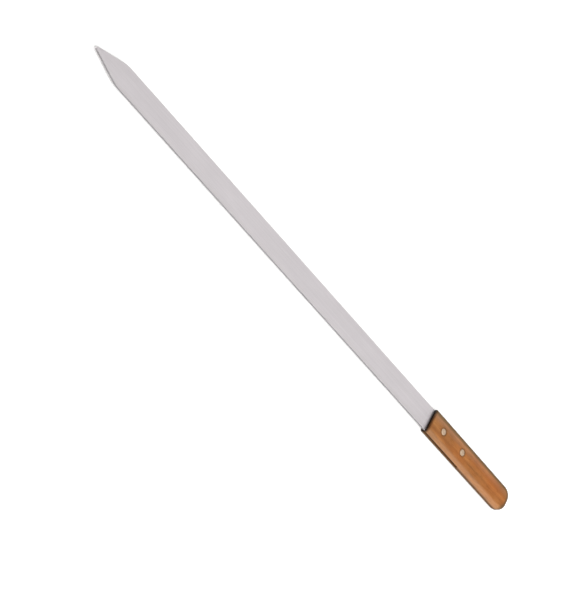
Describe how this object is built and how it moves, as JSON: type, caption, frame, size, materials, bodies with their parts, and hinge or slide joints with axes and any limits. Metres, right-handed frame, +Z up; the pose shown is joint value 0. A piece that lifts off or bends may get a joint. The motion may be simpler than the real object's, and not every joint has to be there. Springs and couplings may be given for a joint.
{
  "type": "flat barbecue skewer",
  "caption": "Flat steel barbecue skewer: a wide strip with a sharp point, slotted into a one-piece wooden handle and held by flush metal rivets.",
  "frame": {"origin": "under the middle of the skewer's length and width, on the plane of the handle's underside", "axes": "+X from the point towards the butt, +Y across the strip, +Z up through the handle's upper face"},
  "size_m": [0.6, 0.024, 0.01],
  "materials": {
    "steel": "satin stainless steel with a fine lengthwise grain",
    "wood": "orange-brown hardwood, lengthwise grain, oiled to a low sheen, rims darkened",
    "rivet_metal": "dull sanded aluminium"
  },
  "bodies": {
    "root": {"blade": "steel", "handle": "wood", "front_rivet_socket": "rivet_metal", "front_rivet_pin": "rivet_metal", "rear_rivet_socket": "rivet_metal", "rear_rivet_pin": "rivet_metal"}
  },
  "joints": []
}
